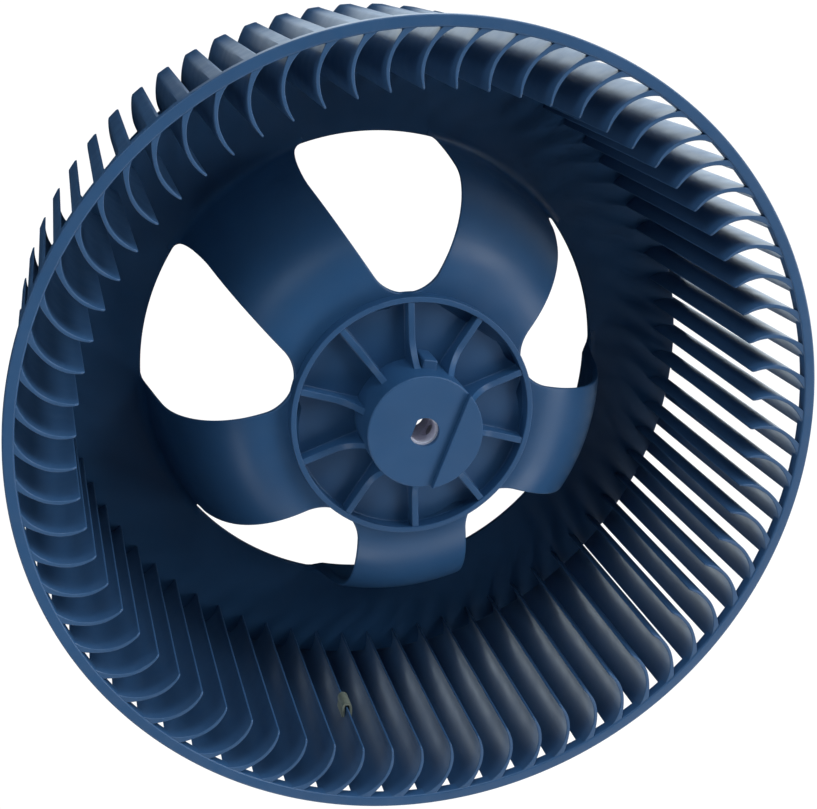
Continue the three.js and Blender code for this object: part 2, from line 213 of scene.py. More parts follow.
GROUND = cad_low.z - 0.5 * MM  # just under the wheel
FLOOR_RADIUS = 4
FLOOR_DEPTH = 0.02
ROUND_STEPS = 96
BACKDROP_SHARE = 0.99  # of the floor's radius
BACKDROP_HEIGHT = 3.9
BACKDROP_STEPS = 12
BACKDROP_LIFT = 0.1 * MM
BACKDROP_GLOW = 1.05
# A painted reflection: a glowing band round the wheel that only glossy rays see. It paints the lit floor into
# the blades' sheen, and its black side paints the floor's shade.
REFLECTION_BAND_INNER = 126 * MM
REFLECTION_BAND_OUTER = 600 * MM
REFLECTION_BAND_LIFT = 0.2 * MM
REFLECTION_BAND_GLOW = 2
REFLECTION_BAND_FACING = math.radians(5)
PAINTED_REFLECTION_SHADE_AT = -80 * MM  # distances from the axis, along the way that the band of painted reflection faces, where it is dark and where it is bright
PAINTED_REFLECTION_BRIGHT_AT = -20 * MM
AMBIENT = 0.1

LAMP_WIDTH = math.radians(28)
# (way round, height above the floor, strength, colour) of each lamp, in degrees and watts per square metre
LAMPS = (
    (45, 14, 1.1, COOL),
    (90, 20, 0.95, COOL),
    (135, 30, 0.5, COOL),
    (225, 22, 0.6, WHITE),
    (180, 30, 0.2, WHITE),
    (0, 38, 0.85, WHITE),
    (45, 35, 0.75, WHITE),
    (270, 35, 0.5, WHITE),
    (315, 38, 0.6, WHITE),
)

CAMERA_AIM = Vector((-7.8 * MM, 11.4 * MM, RING_TOP))
CAMERA_WAY = Vector((-0.2420, 0.3009, 0.9225))  # from the aim to the camera
CAMERA_DISTANCE = 484.4 * MM
CAMERA_LENS = 71.98
CAMERA_SENSOR = 36
CAMERA_NEAREST = 0.01


# ---------- materials ----------
def link(tree, source, target):
    tree.links.new(source, target)


def add_node(tree, kind, **values):
    """A new node with its inputs, or its own settings, given by name."""
    node = tree.nodes.new(kind)
    for name, value in values.items():
        if name in node.inputs:
            node.inputs[name].default_value = value
        else:
            setattr(node, name, value)
    return node


def noise(tree, place, scale, detail=4.0):
    node = add_node(tree, "ShaderNodeTexNoise", Scale=scale, Detail=detail)
    link(tree, place, node.inputs["Vector"])
    return node.outputs["Fac"]


def spread(tree, factor, low, high, start=0.3, end=0.7):
    """Maps a factor's stretch from start to end onto the range from low to high."""
    node = add_node(tree, "ShaderNodeMapRange")
    node.inputs["From Min"].default_value = start
    node.inputs["From Max"].default_value = end
    node.inputs["To Min"].default_value = low
    node.inputs["To Max"].default_value = high
    link(tree, factor, node.inputs["Value"])
    return node.outputs["Result"]


def blend_colours(tree, factor, first, second):
    """A mix of two colours, each a plain colour or another node's output."""
    node = add_node(tree, "ShaderNodeMix", data_type="RGBA")
    for value, socket in ((first, node.inputs[6]), (second, node.inputs[7])):
        if isinstance(value, tuple):
            socket.default_value = (*value, 1)
        else:
            link(tree, value, socket)
    link(tree, factor, node.inputs["Factor"])
    return node.outputs[2]


def bump(tree, height, distance, strength):
    node = add_node(tree, "ShaderNodeBump", Distance=distance, Strength=strength)
    link(tree, height, node.inputs["Height"])
    return node.outputs["Normal"]


def start_material(name):
    material = bpy.data.materials.new(name)
    material.use_nodes = True
    tree = material.node_tree
    shader = tree.nodes["Principled BSDF"]
    place = add_node(tree, "ShaderNodeTexCoord").outputs["Object"]
    return material, tree, shader, place


def plastic(name, rough, dust_and_sheen):
    """Moulded navy plastic: mottled pigment, a fine moulding grain, uneven gloss, and a thin grey film that
    is partly real dust and partly painted sheen.
    """
    material, tree, shader, place = start_material(name)
    cloud = spread(tree, noise(tree, place, scale=45), low=0, high=1)
    base = blend_colours(tree, cloud, NAVY_DARK, NAVY)
    # grey specks in the colour: partly dust, partly painted sheen; the ring and the blades get more of it for
    # their sheen
    specks = noise(tree, place, scale=260, detail=6)
    dust_and_sheen_mask = spread(tree, specks, low=0.7 * dust_and_sheen, high=dust_and_sheen, start=0.35, end=0.7)
    base = blend_colours(tree, dust_and_sheen_mask, base, DUST_AND_SHEEN)
    link(tree, base, shader.inputs["Base Color"])
    gloss = spread(tree, noise(tree, place, scale=120), low=rough - 0.04, high=rough + 0.06)
    link(tree, gloss, shader.inputs["Roughness"])
    grain = noise(tree, place, scale=2600, detail=2)
    link(tree, bump(tree, grain, distance=0.02 * MM, strength=0.12), shader.inputs["Normal"])
    shader.inputs["IOR"].default_value = 1.5
    shader.inputs["Specular IOR Level"].default_value = 0.38
    return material


def machined_metal(name, colour, rough, metallic, streak_scale):
    """Turned or drawn metal with a little tarnish. The scale packs its fine streaks closer along an axis."""
    material, tree, shader, place = start_material(name)
    stretch = add_node(tree, "ShaderNodeMapping")
    stretch.inputs["Scale"].default_value = streak_scale
    link(tree, place, stretch.inputs["Vector"])
    streaks = noise(tree, stretch.outputs["Vector"], scale=900, detail=3)
    tarnish = spread(tree, noise(tree, place, scale=500), low=0, high=0.35, start=0.45, end=0.75)
    dull = tuple(0.55 * part for part in colour)
    link(tree, blend_colours(tree, tarnish, colour, dull), shader.inputs["Base Color"])
    link(tree, spread(tree, streaks, low=rough - 0.08, high=rough + 0.12), shader.inputs["Roughness"])
    link(tree, bump(tree, streaks, distance=0.03 * MM, strength=0.3), shader.inputs["Normal"])
    shader.inputs["Metallic"].default_value = metallic
    return material


ring_plastic = plastic("ring_navy", rough=0.32, dust_and_sheen=0.12)
blade_plastic = plastic("blade_navy", rough=0.34, dust_and_sheen=0.16)
dome_plastic = plastic("dome_navy", rough=0.36, dust_and_sheen=0.05)
hub_plastic = plastic("hub_navy", rough=0.42, dust_and_sheen=0.05)
bright_metal = machined_metal("bright_metal", BRIGHT, rough=0.45, metallic=0.2, streak_scale=(1, 1, 8))
screw_steel = machined_metal("screw_steel", STEEL, rough=0.35, metallic=0.6, streak_scale=(8, 8, 1))
zinc_plate = machined_metal("zinc_plate", ZINC, rough=0.45, metallic=0.6, streak_scale=(6, 6, 1))


# ---------- points and outlines ----------
def polar(radius, angle):
    return Vector((radius * math.cos(angle), radius * math.sin(angle)))


def quarter_turn(steps):
    """Evenly spaced angles from 0 to a right angle."""
    return [QUARTER * k / steps for k in range(steps + 1)]


def arc_points(centre, radius, start, end, steps):
    return [centre + polar(radius, start + (end - start) * i / steps) for i in range(steps + 1)]


def circle(radius, steps=ROUND_STEPS):
    return arc_points(Vector((0, 0)), radius, 0, TURN, steps)[:-1]


def bend(first, corner, last, steps):
    """A curve from the first point to the last that bends towards the corner."""
    points = []
    for i in range(steps + 1):
        t = i / steps
        points.append(first * (1 - t) ** 2 + corner * (2 * t * (1 - t)) + last * t ** 2)
    return points


def rectangle(inner, outer, bottom, top):
    return [Vector((inner, bottom)), Vector((outer, bottom)), Vector((outer, top)), Vector((inner, top))]


def rounded(corners, radius, steps=4, most=0.45):
    """A closed outline with each corner replaced by a curve of that radius, or as near as its sides allow."""
    count = len(corners)
    points = []
    for i, corner in enumerate(corners):
        before = corners[i - 1] - corner
        after = corners[(i + 1) % count] - corner
        half = before.angle(after) / 2
        reach = min(radius / math.tan(half), before.length * most, after.length * most)
        first = corner + before.normalized() * reach
        last = corner + after.normalized() * reach
        points += bend(first, corner, last, steps)
    return points


def inset(outline, distance):
    """The outline moved inwards by a distance along its own normals. The outline runs counter-clockwise."""
    count = len(outline)
    moved = []
    for i, point in enumerate(outline):
        along = (outline[(i + 1) % count] - outline[i - 1]).normalized()
        moved.append(point + Vector((-along.y, along.x)) * distance)
    return moved


def d_outline(radius, flat, steps=40, flat_steps=8):
    """A D about the axis, counter-clockwise, with its flat facing -X."""
    half = math.acos(flat / radius)
    points = arc_points(Vector((0, 0)), radius, -math.pi + half, math.pi - half, steps)
    return points + [points[-1].lerp(points[0], k / flat_steps) for k in range(1, flat_steps)]


# ---------- meshes ----------
def mesh_object(name, points, faces, material, merge_distance=1e-7):
    mesh = bpy.data.meshes.new(name)
    mesh.from_pydata([tuple(point) for point in points], [], faces)
    shape = bmesh.new()
    shape.from_mesh(mesh)
    bmesh.ops.remove_doubles(shape, verts=shape.verts, dist=merge_distance)
    bmesh.ops.dissolve_degenerate(shape, edges=shape.edges, dist=merge_distance)
    bmesh.ops.recalc_face_normals(shape, faces=shape.faces)
    shape.to_mesh(mesh)
    shape.free()
    mesh.materials.append(material)
    piece = bpy.data.objects.new(name, mesh)
    bpy.context.collection.objects.link(piece)
    return piece


def smooth(piece, degrees=35):
    """Smooth shading, with sharp edges where faces meet at more than the angle."""
    shape = bmesh.new()
    shape.from_mesh(piece.data)
    for face in shape.faces:
        face.smooth = True
    for edge in shape.edges:
        edge.smooth = len(edge.link_faces) == 2 and edge.calc_face_angle(0) < math.radians(degrees)
    shape.to_mesh(piece.data)
    shape.free()
    weighted = piece.modifiers.new("normals", "WEIGHTED_NORMAL")
    weighted.keep_sharp = True
    return piece


def grid_faces(rows, columns, closed_rows=False, closed_columns=False):
    """Quads of a grid of points numbered row by row."""
    faces = []
    for i in range(rows if closed_rows else rows - 1):
        row = i * columns
        next_row = (i + 1) % rows * columns
        for k in range(columns if closed_columns else columns - 1):
            after = (k + 1) % columns
            faces.append((row + k, row + after, next_row + after, next_row + k))
    return faces


def turned(name, profile, material, steps=240):
    """A ring or disc turned about Z from a closed loop of (radius, height) points off the axis."""
    points = []
    for i in range(steps):
        angle = TURN * i / steps
        points += [(*polar(radius, angle), height) for radius, height in profile]
    return mesh_object(name, points, grid_faces(steps, len(profile), True, True), material)


def stacked(name, loops, material):
    """A closed body from outlines of equal length, capped at both ends."""
    size = len(loops[0])
    points = [point for loop in loops for point in loop]
    faces = grid_faces(len(loops), size, False, True)
    faces.append(tuple(range(size)))
    faces.append(tuple(range((len(loops) - 1) * size, len(loops) * size)))
    return mesh_object(name, points, faces, material)


def extruded(name, outline, heights, material):
    """The outline repeated at each height, as a body with plain edges."""
    return stacked(name, [[(*point, height) for point in outline] for height in heights], material)


def raised(name, outline, bottom, top, edge, material, steps=4):
    """An outline raised between two heights, with its upper edge rounded."""
    loops = [[(*point, bottom) for point in outline]]
    for turn in quarter_turn(steps):
        height = top - edge + edge * math.sin(turn)
        loops.append([(*point, height) for point in inset(outline, edge * (1 - math.cos(turn)))])
    return stacked(name, loops, material)


def combine(piece, others, operation):
    """Cuts the other bodies out of the piece, or joins them to it, and removes the others."""
    for other in others:
        cut = piece.modifiers.new("cut", "BOOLEAN")
        cut.operation = operation
        cut.solver = "EXACT"
        cut.object = other
    bpy.context.view_layer.update()
    graph = bpy.context.evaluated_depsgraph_get()
    result = bpy.data.meshes.new_from_object(piece.evaluated_get(graph))
    piece.modifiers.clear()
    piece.data = result
    for other in others:
        bpy.data.objects.remove(other)
    return piece


def turn_about_axis(piece, angle):
    piece.data.transform(Matrix.Rotation(angle, 4, "Z"))
    return piece


def turned_copy(pattern, name, angle):
    """A copy with a mesh of its own, turned about the wheel's axis."""
    piece = pattern.copy()
    piece.data = pattern.data.copy()
    piece.name = name
    bpy.context.collection.objects.link(piece)
    return turn_about_axis(piece, angle)


def stands_for(piece, body, node):
    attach(piece, body)
    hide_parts(node)


# ---------- front ring ----------
def make_front_ring():
    section = rounded(rectangle(RING_OUTER - RING_WIDTH, RING_OUTER, RING_BOTTOM, RING_TOP), RING_EDGE)
    piece = smooth(turned("front_ring_moulding", section, ring_plastic, steps=360))
    stands_for(piece, "wheel", "front_ring")


# ---------- blades ----------
def drawn_in(point, height):
    """A blade's point moved towards the axis by the mould's taper, and kept inside the blades' outer cone."""
    rise = height / BLADE_TOP
    limit = BLADE_REAR_RADIUS + (BLADE_FRONT_RADIUS - BLADE_REAR_RADIUS) * rise
    share = (limit - BLADE_TIP_RADIUS) / (BLADE_FRONT_RADIUS - BLADE_TIP_RADIUS)
    radius = point.length
    depth = max(0, radius - BLADE_TIP_RADIUS)
    moved = min(radius - depth * (1 - share), limit)
    return (*(point * (moved / radius)), height)


def blade_section(height, half, tip_angle):
    """The outline of a blade at one height: its outer side, its inner side back again, and round its tip."""
    step = (BLADE_END_ANGLE - tip_angle) / BLADE_ARC_STEPS
    angles = [tip_angle + step * i for i in range(BLADE_ARC_STEPS + 1)]

    def half_at(angle):
        near_tip = max(0, 1 - (tip_angle - angle) / TIP_THINNING_ANGLE)
        return half * (1 - TIP_THINNING * near_tip)

    def swell(angle):
        near_end = min(max((END_SWELL_START - angle) / END_SWELL_REACH, 0), 1)
        return END_SWELL * near_end ** 2

    def side(angle, offset):
        return BLADE_ARC_CENTRE + polar(BLADE_ARC_RADIUS + offset, angle)

    outside = [side(angle, half_at(angle) + swell(angle)) for angle in angles]
    inside = [side(angle, -half_at(angle)) for angle in reversed(angles)]
    tip = side(tip_angle, 0)
    nose = arc_points(tip, half * (1 - TIP_THINNING), tip_angle + math.pi, tip_angle, BLADE_NOSE_STEPS)[1:-1]
    return [drawn_in(point, height) for point in outside + inside + nose]


def blade_levels():
    """(height, half thickness, how far the tip is cut back) of each section, rear end first."""
    half = BLADE_THICKNESS / 2
    levels = []
    for turn in quarter_turn(3):
        levels.append((BLADE_EDGE * (1 - math.cos(turn)), half - BLADE_EDGE * (1 - math.sin(turn)), 0))
    for share in (0.25, 0.5, 0.75):
        levels.append((share * (BLADE_TOP - BLADE_CORNER), half, 0))
    for turn in quarter_turn(5):
        height = BLADE_TOP - BLADE_CORNER + BLADE_CORNER * math.sin(turn) - BLADE_EDGE
        levels.append((height, half, BLADE_CORNER * (1 - math.cos(turn))))
    for turn in quarter_turn(3)[1:]:
        height = BLADE_TOP - BLADE_EDGE * (1 - math.sin(turn))
        narrowing = BLADE_EDGE * (1 - math.cos(turn))
        levels.append((height, half - narrowing, BLADE_CORNER + narrowing))
    return levels


def blade_angle(index):
    """The angle that a blade's pattern is turned by to stand in its place."""
    return FIRST_TIP_ANGLE - BLADE_SWEEP + TURN * index / BLADE_COUNT


def make_blades():
    loops = [
        blade_section(height, half, BLADE_TIP_ANGLE - back / BLADE_ARC_RADIUS)
        for height, half, back in blade_levels()
    ]
    pattern = smooth(stacked("blade_pattern", loops, blade_plastic))
    for i in range(BLADE_COUNT):
        piece = turned_copy(pattern, f"blade_{i + 1:02d}", blade_angle(i))
        stands_for(piece, "wheel", f"blade_group_{i // BLADES_PER_GROUP + 1:02d}")
    bpy.data.objects.remove(pattern)


# ---------- back plate ----------
def make_back_plate():
    section = rounded(rectangle(PLATE_INNER_RADIUS, PLATE_RIM_RADIUS, PLATE_BOTTOM, PLATE_TOP), PLATE_EDGE)
    piece = smooth(turned("back_plate_moulding", section, dome_plastic, steps=360))
    stands_for(piece, "wheel", "back_plate")


# ---------- dome arms ----------
def dome_curve(steps=60, foot_steps=8):
    """Points along the dome's outer surface, from the hub ring over the shoulder and down to the foot."""
    start = Vector((SHOULDER_RADIUS, DOME_TOP))
    near, far = (Vector(pull) for pull in SHOULDER_PULL)
    low = Vector(WALL_LOW)
    points = [Vector((RIM_OUTER - RIM_WALL / 2, DOME_TOP))]
    for i in range(steps + 1):
        t = i / steps
        s = 1 - t
        points.append(start * s ** 3 + near * (3 * s * s * t) + far * (3 * s * t * t) + low * t ** 3)
    return points + bend(*(Vector(point) for point in FOOT), foot_steps)


DOME_CURVE = dome_curve()
DOME_RADII = [point.x for point in DOME_CURVE]
DOME_HEIGHTS = [point.y for point in DOME_CURVE]


def dome_height(radius):
    return np.interp(radius, DOME_RADII, DOME_HEIGHTS)


def dome_slope(radius, step=0.3 * MM):
    """How fast the dome's surface falls at a radius, averaged over a short stretch."""
    near = max(radius - step, DOME_RADII[0])
    far = min(radius + step, DOME_RADII[-1])
    return (dome_height(far) - dome_height(near)) / (far - near)


def dome_point(radius, angle, depth):
    """A point under the dome's outer surface, at a depth along the surface's normal."""
    slope = dome_slope(radius)
    length = math.hypot(1, slope)
    return (*polar(radius + depth * slope / length, angle), dome_height(radius) - depth / length)


def window_side(nose_steps=24, side_steps=24, corner_steps=16, end_steps=6):
    """One side of a window about +X, from its nose to its outer end, as points with normals into the arm."""
    lean = WINDOW_HALF_ANGLE
    side_turn = QUARTER + lean
    nose_distance = RIM_OUTER + WINDOW_NOSE_RADIUS
    side_offset = WINDOW_NOSE_RADIUS - nose_distance * math.sin(lean)
    corner_offset = side_offset - WINDOW_CORNER_RADIUS
    corner_reach = PLATE_INNER_RADIUS + WINDOW_MARGIN - WINDOW_CORNER_RADIUS
    along = math.sqrt(corner_reach ** 2 - corner_offset ** 2)
    corner = Vector(
        (
            along * math.cos(lean) - corner_offset * math.sin(lean),
            along * math.sin(lean) + corner_offset * math.cos(lean),
        )
    )
    nose = Vector((nose_distance, 0))
    outline = []
    for i in range(nose_steps + 1):
        turn = math.pi + (lean - QUARTER) * i / nose_steps
        outline.append((nose + polar(WINDOW_NOSE_RADIUS, turn), polar(1, turn)))
    start = outline[-1][0]
    side_normal = polar(1, side_turn)
    end = corner + side_normal * WINDOW_CORNER_RADIUS
    for i in range(1, side_steps):
        outline.append((start.lerp(end, i / side_steps), side_normal))
    last_turn = math.atan2(corner.y, corner.x)
    for i in range(corner_steps + 1):
        turn = side_turn + (last_turn - side_turn) * i / corner_steps
        outline.append((corner + polar(WINDOW_CORNER_RADIUS, turn), polar(1, turn)))
    reach = outline[-1][0].length
    for i in range(1, end_steps + 1):
        radius = reach + (DOME_RADII[-1] - reach) * i / end_steps
        outline.append((polar(radius, last_turn), polar(1, last_turn + QUARTER)))
    return outline


WINDOW_SIDE = window_side()
SIDE_RADII = [point.length for point, _ in WINDOW_SIDE]
SIDE_ANGLES = [math.atan2(point.y, point.x) for point, _ in WINDOW_SIDE]


def window_angle(radius):
    """Half the window's width at a radius, as an angle."""
    return np.interp(radius, SIDE_RADII, SIDE_ANGLES)


def arm_edge_profile():
    """(share of the edge radius moved into the arm, depth) from the top surface round to the bottom."""
    upper = [(1 - math.sin(turn), ARM_EDGE * (1 - math.cos(turn))) for turn in quarter_turn(ARM_EDGE_STEPS)]
    lower = [(share, DOME_WALL - depth) for share, depth in reversed(upper)]
    return upper + lower


def arm_section(point, normal):
    """The closed outline across an arm on +X at one point of its window's side."""
    half_sector = math.pi / ARM_COUNT
    slope = dome_slope(point.length)
    length = math.hypot(1, slope)
    outwards = point.normalized()
    radial = normal.dot(outwards)
    sideways = normal - outwards * radial
    shift = sideways + outwards * (radial / length)
    edge = []
    for share, depth in arm_edge_profile():
        place = point + shift * (ARM_EDGE * share)
        radius = min(max(place.length, DOME_RADII[0]), DOME_RADII[-1])
        widening = window_angle(radius) - window_angle(radius + depth * slope / length)
        undercut = ARM_UNDERCUT * depth * slope / length / radius
        edge.append((radius, half_sector - math.atan2(place.y, place.x) + widening + undercut, depth))
    top_radius, top_half, _ = edge[0]
    low_radius, low_half, low_depth = edge[-1]
    across = [-1 + 2 * k / ARM_COLUMNS for k in range(1, ARM_COLUMNS)]
    loop = [(top_radius, top_half * share, 0) for share in across]
    loop += edge
    loop += [(low_radius, -low_half * share, low_depth) for share in across]
    loop += [(radius, -angle, depth) for radius, angle, depth in reversed(edge)]
    return [dome_point(*place) for place in loop]


def make_dome_arms():
    loops = [arm_section(Vector((DOME_RADII[0], 0)), Vector((-1, 0)))]
    loops += [arm_section(point, normal) for point, normal in WINDOW_SIDE]
    pattern = smooth(stacked("arm_pattern", loops, dome_plastic), 50)
    for i in range(ARM_COUNT):
        angle = FIRST_WINDOW_ANGLE - TURN * (i + 0.5) / ARM_COUNT
        piece = turned_copy(pattern, f"dome_arm_moulding_{i + 1:02d}", angle)
        stands_for(piece, "wheel", f"dome_arm_{i + 1:02d}")
    bpy.data.objects.remove(pattern)


# ---------- hub ----------
def make_hub_floor():
    inner = BOSS_RADIUS - FLOOR_LAP
    section = rounded(rectangle(inner, RIM_OUTER - RIM_WALL / 2, FLOOR_BOTTOM, FLOOR_TOP), FLOOR_EDGE)
    piece = smooth(turned("hub_floor_moulding", section, hub_plastic))
    stands_for(piece, "wheel", "hub_floor")


def make_hub_ring():
    """The ring's section has rounded upper corners and a fillet that runs out on the hub floor."""
    inner = RIM_OUTER - RIM_WALL
    crown_start = RIM_TOP - 2 * RIM_FILLET
    crown = rounded(rectangle(inner, RIM_OUTER, crown_start, RIM_TOP), RIM_EDGE)
    upper_corners = crown[len(crown) // 2:]
    fillet = [
        (inner - RIM_FILLET * (1 - math.cos(turn)), FLOOR_TOP + RIM_FILLET * (1 - math.sin(turn)))
        for turn in quarter_turn(5)
    ]
    base = [(inner - RIM_FILLET, FLOOR_BOTTOM), (RIM_OUTER, FLOOR_BOTTOM), (RIM_OUTER, crown_start)]
    piece = smooth(turned("hub_ring_moulding", base + upper_corners + fillet, hub_plastic))
    stands_for(piece, "wheel", "hub_ring")


def rib_section(radius, height):
    """The upright section of a rib at a radius: flared at the floor and rounded along the top."""
    half = RIB_THICKNESS / 2
    flare = [
        (half + RIB_FILLET * (1 - math.sin(turn)), FLOOR_TOP + RIB_FILLET * (1 - math.cos(turn)))
        for turn in quarter_turn(4)
    ]
    crown = [
        (half * RIB_TOP_SHARE - RIB_CROWN * (1 - math.cos(turn)), height - RIB_CROWN * (1 - math.sin(turn)))
        for turn in quarter_turn(4)
    ]
    side = [(half + RIB_FILLET, FLOOR_TOP - SUNK)] + flare + crown
    loop = [(radius, across, level) for across, level in side]
    loop += [(radius, -across, level) for across, level in reversed(side)]
    return loop


def rib_height(radius):
    """A rib is level at the hub ring and sweeps up to the boss along a hollow curve."""
    share = min(max(1 - (radius - BOSS_RADIUS) / RIB_SWEEP, 0), 1)
    return RIB_OUTER_HEIGHT + (RIB_AT_BOSS - RIB_OUTER_HEIGHT) * share ** RIB_SWEEP_POWER


def make_ribs():
    start = BOSS_RADIUS - RIB_LAP
    outer = RIM_OUTER - RIM_WALL / 2
    radii = [start + (outer - start) * (k / RIB_STEPS) ** RIB_STEP_POWER for k in range(RIB_STEPS + 1)]
    loops = [rib_section(radius, rib_height(radius)) for radius in radii]
    for i in range(RIB_COUNT):
        piece = smooth(stacked(f"hub_rib_moulding_{i + 1:02d}", loops, hub_plastic))
        turn_about_axis(piece, FIRST_WINDOW_ANGLE - RIB_PITCH * i)
        stands_for(piece, "wheel", f"hub_rib_{i + 1:02d}")


def screw_hole(radius, material):
    """A cutter for the set screw's hole, from the axis outwards."""
    cutter = extruded("screw_hole", circle(radius, 48), (0, SCREW_HOLE_REACH), material)
    cutter.data.transform(Matrix.Translation((0, 0, SCREW_HEIGHT)) @ Matrix.Rotation(QUARTER, 4, "Y"))
    return turn_about_axis(cutter, SCREW_ANGLE - BORE_ANGLE)


def d_cutter(margin, material):
    """A cutter for the D-bore, longer than the boss at both ends."""
    outline = d_outline(BORE_RADIUS + margin, BORE_FLAT + margin)
    return extruded("d_cutter", outline, (CUTTER_BOTTOM, BOSS_STEP_TOP + CUTTER_EXCESS), material)


def boss_step_body():
    """The higher side of the boss, beyond the step, facing +X."""
    half = math.acos(BOSS_STEP / BOSS_RADIUS)
    arc = arc_points(Vector((0, 0)), BOSS_RADIUS, -half, half, 60)
    chord = [arc[-1].lerp(arc[0], k / 12) for k in range(1, 12)]
    bottom = BOSS_TOP - BOSS_STEP_ROOT
    return raised("boss_step", arc + chord, bottom, BOSS_STEP_TOP, BOSS_STEP_EDGE, hub_plastic)


def boss_lug():
    """The small lug on the boss's side, where it lies before the boss is turned to its place."""
    outline = rounded(rectangle(LUG_START, LUG_REACH, -LUG_WIDTH / 2, LUG_WIDTH / 2), LUG_CORNER)
    lug = raised("boss_lug", outline, FLOOR_TOP - SUNK, LUG_TOP, LUG_EDGE, hub_plastic)
    return turn_about_axis(lug, LUG_ANGLE - BORE_ANGLE)


def make_boss():
    outline = circle(BOSS_RADIUS, 160)
    body = raised("hub_boss_moulding", outline, FLOOR_BOTTOM, BOSS_TOP, BOSS_EDGE, hub_plastic, steps=6)
    combine(body, [boss_step_body(), boss_lug()], "UNION")
    pocket_levels = (CUTTER_BOTTOM, BOSS_TOP - BOSS_FACE_THICKNESS)
    pocket = extruded("pocket", circle(INSERT_RADIUS + FIT_GAP), pocket_levels, hub_plastic)
    hole = screw_hole(SCREW_RADIUS + 2 * FIT_GAP, hub_plastic)
    combine(body, [pocket, d_cutter(BORE_MARGIN, hub_plastic), hole], "DIFFERENCE")
    piece = smooth(turn_about_axis(body, BORE_ANGLE), 30)
    stands_for(piece, "wheel", "hub_boss")


def make_insert():
    outline = circle(INSERT_RADIUS, 120)
    blank = raised("hub_insert_metal", outline, insert_low.z, insert_high.z, INSERT_EDGE, bright_metal)
    hole = screw_hole(SCREW_RADIUS + FIT_GAP, bright_metal)
    combine(blank, [d_cutter(0, bright_metal), hole], "DIFFERENCE")
    piece = smooth(turn_about_axis(blank, BORE_ANGLE), 30)
    stands_for(piece, "wheel", "hub_insert")


# ---------- set screw and balance clip ----------
def make_screw(around=48, rows=80):
    """The set screw along X, with a real helical thread and a hex socket in its outer end."""
    start = BORE_RADIUS + FIT_GAP
    loops = []
    for k in range(rows + 1):
        along = SCREW_LENGTH * k / rows
        fade = min(1, along / SCREW_PITCH, (SCREW_LENGTH - along) / SCREW_PITCH)
        point_cut = max(0, SCREW_POINT - along)
        loop = []
        for i in range(around):
            phase = (along / SCREW_PITCH + i / around) % 1
            depth = THREAD_DEPTH * abs(2 * phase - 1) * fade
            side = polar(SCREW_RADIUS - depth - point_cut, TURN * i / around)
            loop.append((start + along, side.x, SCREW_HEIGHT + side.y))
        loops.append(loop)
    body = stacked("set_screw_metal", loops, screw_steel)
    end = start + SCREW_LENGTH
    socket = [
        [(depth, side.x, SCREW_HEIGHT + side.y) for side in circle(SOCKET_RADIUS, 6)]
        for depth in (end - SOCKET_DEPTH, end + 1 * MM)
    ]
    combine(body, [stacked("socket", socket, screw_steel)], "DIFFERENCE")
    piece = smooth(turn_about_axis(body, SCREW_ANGLE), 25)
    stands_for(piece, "screw", "set_screw")


def make_clip(steps=10):
    """A spring clip pushed over a blade's inner edge: a U of strip that follows the blade's curve."""
    room = BLADE_THICKNESS / 2 + FIT_GAP
    bend_angle = BLADE_TIP_ANGLE + CLIP_BEND
    leg_end = BLADE_TIP_ANGLE - CLIP_REACH
    angles = [leg_end + (bend_angle - leg_end) * k / steps for k in range(steps + 1)]
    tip = BLADE_ARC_CENTRE + polar(BLADE_ARC_RADIUS, bend_angle)

    def side(offset):
        outer = [BLADE_ARC_CENTRE + polar(BLADE_ARC_RADIUS + offset, angle) for angle in angles]
        inner = [BLADE_ARC_CENTRE + polar(BLADE_ARC_RADIUS - offset, angle) for angle in reversed(angles)]
        nose = [tip + polar(offset, bend_angle + math.pi * k / steps) for k in range(1, steps)]
        return outer + nose + inner

    outline = side(room + CLIP_WALL) + list(reversed(side(room)))
    edge = 0.2 * MM  # loops this close to both ends keep the shading there crisp
    heights = (clip_low.z, clip_low.z + edge, clip_high.z - edge, clip_high.z)
    piece = smooth(extruded("balance_clip_steel", outline, heights, zinc_plate))
    turn_about_axis(piece, blade_angle(CLIP_BLADE))
    stands_for(piece, "wheel", "balance_clip")


# ---------- stage, light and camera ----------
def pale_floor_material():
    material, tree, shader, place = start_material("pale_floor")
    tone = spread(tree, noise(tree, place, scale=3), low=0.78, high=0.82)
    colour = add_node(tree, "ShaderNodeCombineColor")
    for channel in ("Red", "Green", "Blue"):
        link(tree, tone, colour.inputs[channel])
    link(tree, colour.outputs["Color"], shader.inputs["Base Color"])
    shader.inputs["Roughness"].default_value = 0.9
    return material


def start_glowing_material(name, colour):
    """A material that gives light and reflects none."""
    material, tree, shader, place = start_material(name)
    shader.inputs["Emission Color"].default_value = (*colour, 1)
    shader.inputs["Base Color"].default_value = (0, 0, 0, 1)
    shader.inputs["Specular IOR Level"].default_value = 0
    return material, tree, shader, place


def paper_material():
    """White paper, lit a little unevenly."""
    material, tree, shader, place = start_glowing_material("paper", WHITE)
    tone = spread(tree, noise(tree, place, scale=3), low=0.99 * BACKDROP_GLOW, high=1.01 * BACKDROP_GLOW)
    link(tree, tone, shader.inputs["Emission Strength"])
    return material


def painted_reflection_material():
    """A painted reflection in cool white: bright on the side that it faces and black on the other, where it
    stands in for the floor's shade.
    """
    material, tree, shader, place = start_glowing_material("glow", COOL)
    across = add_node(tree, "ShaderNodeVectorMath", operation="DOT_PRODUCT")
    across.inputs[1].default_value = (*polar(1, REFLECTION_BAND_FACING), 0)
    link(tree, place, across.inputs[0])
    tone = spread(
        tree,
        across.outputs["Value"],
        low=0,
        high=REFLECTION_BAND_GLOW,
        start=PAINTED_REFLECTION_SHADE_AT,
        end=PAINTED_REFLECTION_BRIGHT_AT,
    )
    link(tree, tone, shader.inputs["Emission Strength"])
    return material


def stage_object(name, points, faces, material):
    piece = mesh_object(name, points, faces, material)
    return piece


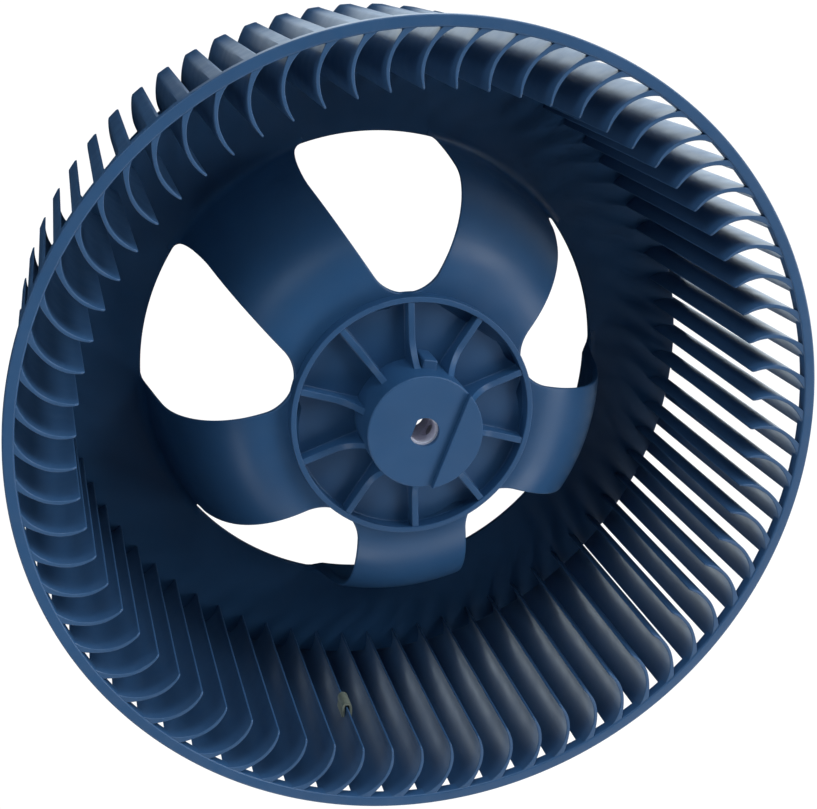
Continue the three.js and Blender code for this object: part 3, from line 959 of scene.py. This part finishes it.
def seen_only_by(piece, camera, glossy):
    piece.visible_camera = camera
    piece.visible_glossy = glossy
    piece.visible_diffuse = False
    piece.visible_transmission = False
    piece.visible_volume_scatter = False
    piece.visible_shadow = False


def make_floor():
    points = [(*point, height) for height in (GROUND - FLOOR_DEPTH, GROUND) for point in circle(FLOOR_RADIUS)]
    caps = [tuple(range(ROUND_STEPS)), tuple(range(ROUND_STEPS, 2 * ROUND_STEPS))]
    faces = grid_faces(2, ROUND_STEPS, False, True) + caps
    floor = stage_object("floor", points, faces, pale_floor_material())
    floor.visible_glossy = False


def make_backdrop():
    """White paper under, around and over the wheel, that only the camera sees."""
    points = []
    for turn in quarter_turn(BACKDROP_STEPS):
        height = GROUND + BACKDROP_LIFT + BACKDROP_HEIGHT * math.sin(turn)
        points += [(*(point * math.cos(turn) * BACKDROP_SHARE), height) for point in circle(FLOOR_RADIUS)]
    faces = grid_faces(BACKDROP_STEPS + 1, ROUND_STEPS, False, True) + [tuple(range(ROUND_STEPS))]
    paper = stage_object("backdrop", points, faces, paper_material())
    seen_only_by(paper, camera=True, glossy=False)


def make_painted_reflection():
    """A glowing band around the wheel that only reflections show: a painted reflection of the lit and shaded
    floor.
    """
    height = GROUND + REFLECTION_BAND_LIFT
    points = [(*point, height) for radius in (REFLECTION_BAND_INNER, REFLECTION_BAND_OUTER) for point in circle(radius)]
    faces = grid_faces(2, ROUND_STEPS, False, True)
    # this band glows only to paint a reflection; it lights nothing
    reflection_band = stage_object("painted_reflection_band", points, faces, painted_reflection_material())
    seen_only_by(reflection_band, camera=False, glossy=True)


def make_world():
    world = bpy.data.worlds.new("studio")
    world.use_nodes = True
    background = world.node_tree.nodes["Background"]
    background.inputs["Strength"].default_value = AMBIENT
    background.inputs["Color"].default_value = (*SKY, 1)
    world.cycles_visibility.glossy = False
    bpy.context.scene.world = world


def make_lights():
    for i, (way, rise, strength, colour) in enumerate(LAMPS):
        data = bpy.data.lights.new(f"lamp_{i + 1}", "SUN")
        data.energy = strength
        data.color = colour
        data.angle = LAMP_WIDTH
        lamp = bpy.data.objects.new(f"lamp_{i + 1}", data)
        flat = polar(math.cos(math.radians(rise)), math.radians(way))
        towards = Vector((*flat, math.sin(math.radians(rise))))
        lamp.rotation_euler = (-towards).to_track_quat("-Z", "Y").to_euler()
        bpy.context.collection.objects.link(lamp)


def make_camera():
    """The camera is held so that +X runs to the right in its picture."""
    back = CAMERA_WAY.normalized()
    right = (Vector((1, 0, 0)) - back * back.x).normalized()
    up = back.cross(right)
    data = bpy.data.cameras.new("camera")
    data.lens = CAMERA_LENS
    data.sensor_width = CAMERA_SENSOR
    data.clip_start = CAMERA_NEAREST
    camera = bpy.data.objects.new("camera", data)
    turn = Matrix((right, up, back)).transposed().to_4x4()
    camera.matrix_world = Matrix.Translation(CAMERA_AIM + back * CAMERA_DISTANCE) @ turn
    bpy.context.collection.objects.link(camera)
    bpy.context.scene.camera = camera


make_front_ring()
make_blades()
make_back_plate()
make_dome_arms()
make_hub_floor()
make_hub_ring()
make_ribs()
make_boss()
make_insert()
make_screw()
make_clip()
make_floor()
make_backdrop()
make_painted_reflection()
make_world()
make_lights()
make_camera()
bpy.context.scene.view_settings.view_transform = "Standard"

bpy.context.view_layer.update()
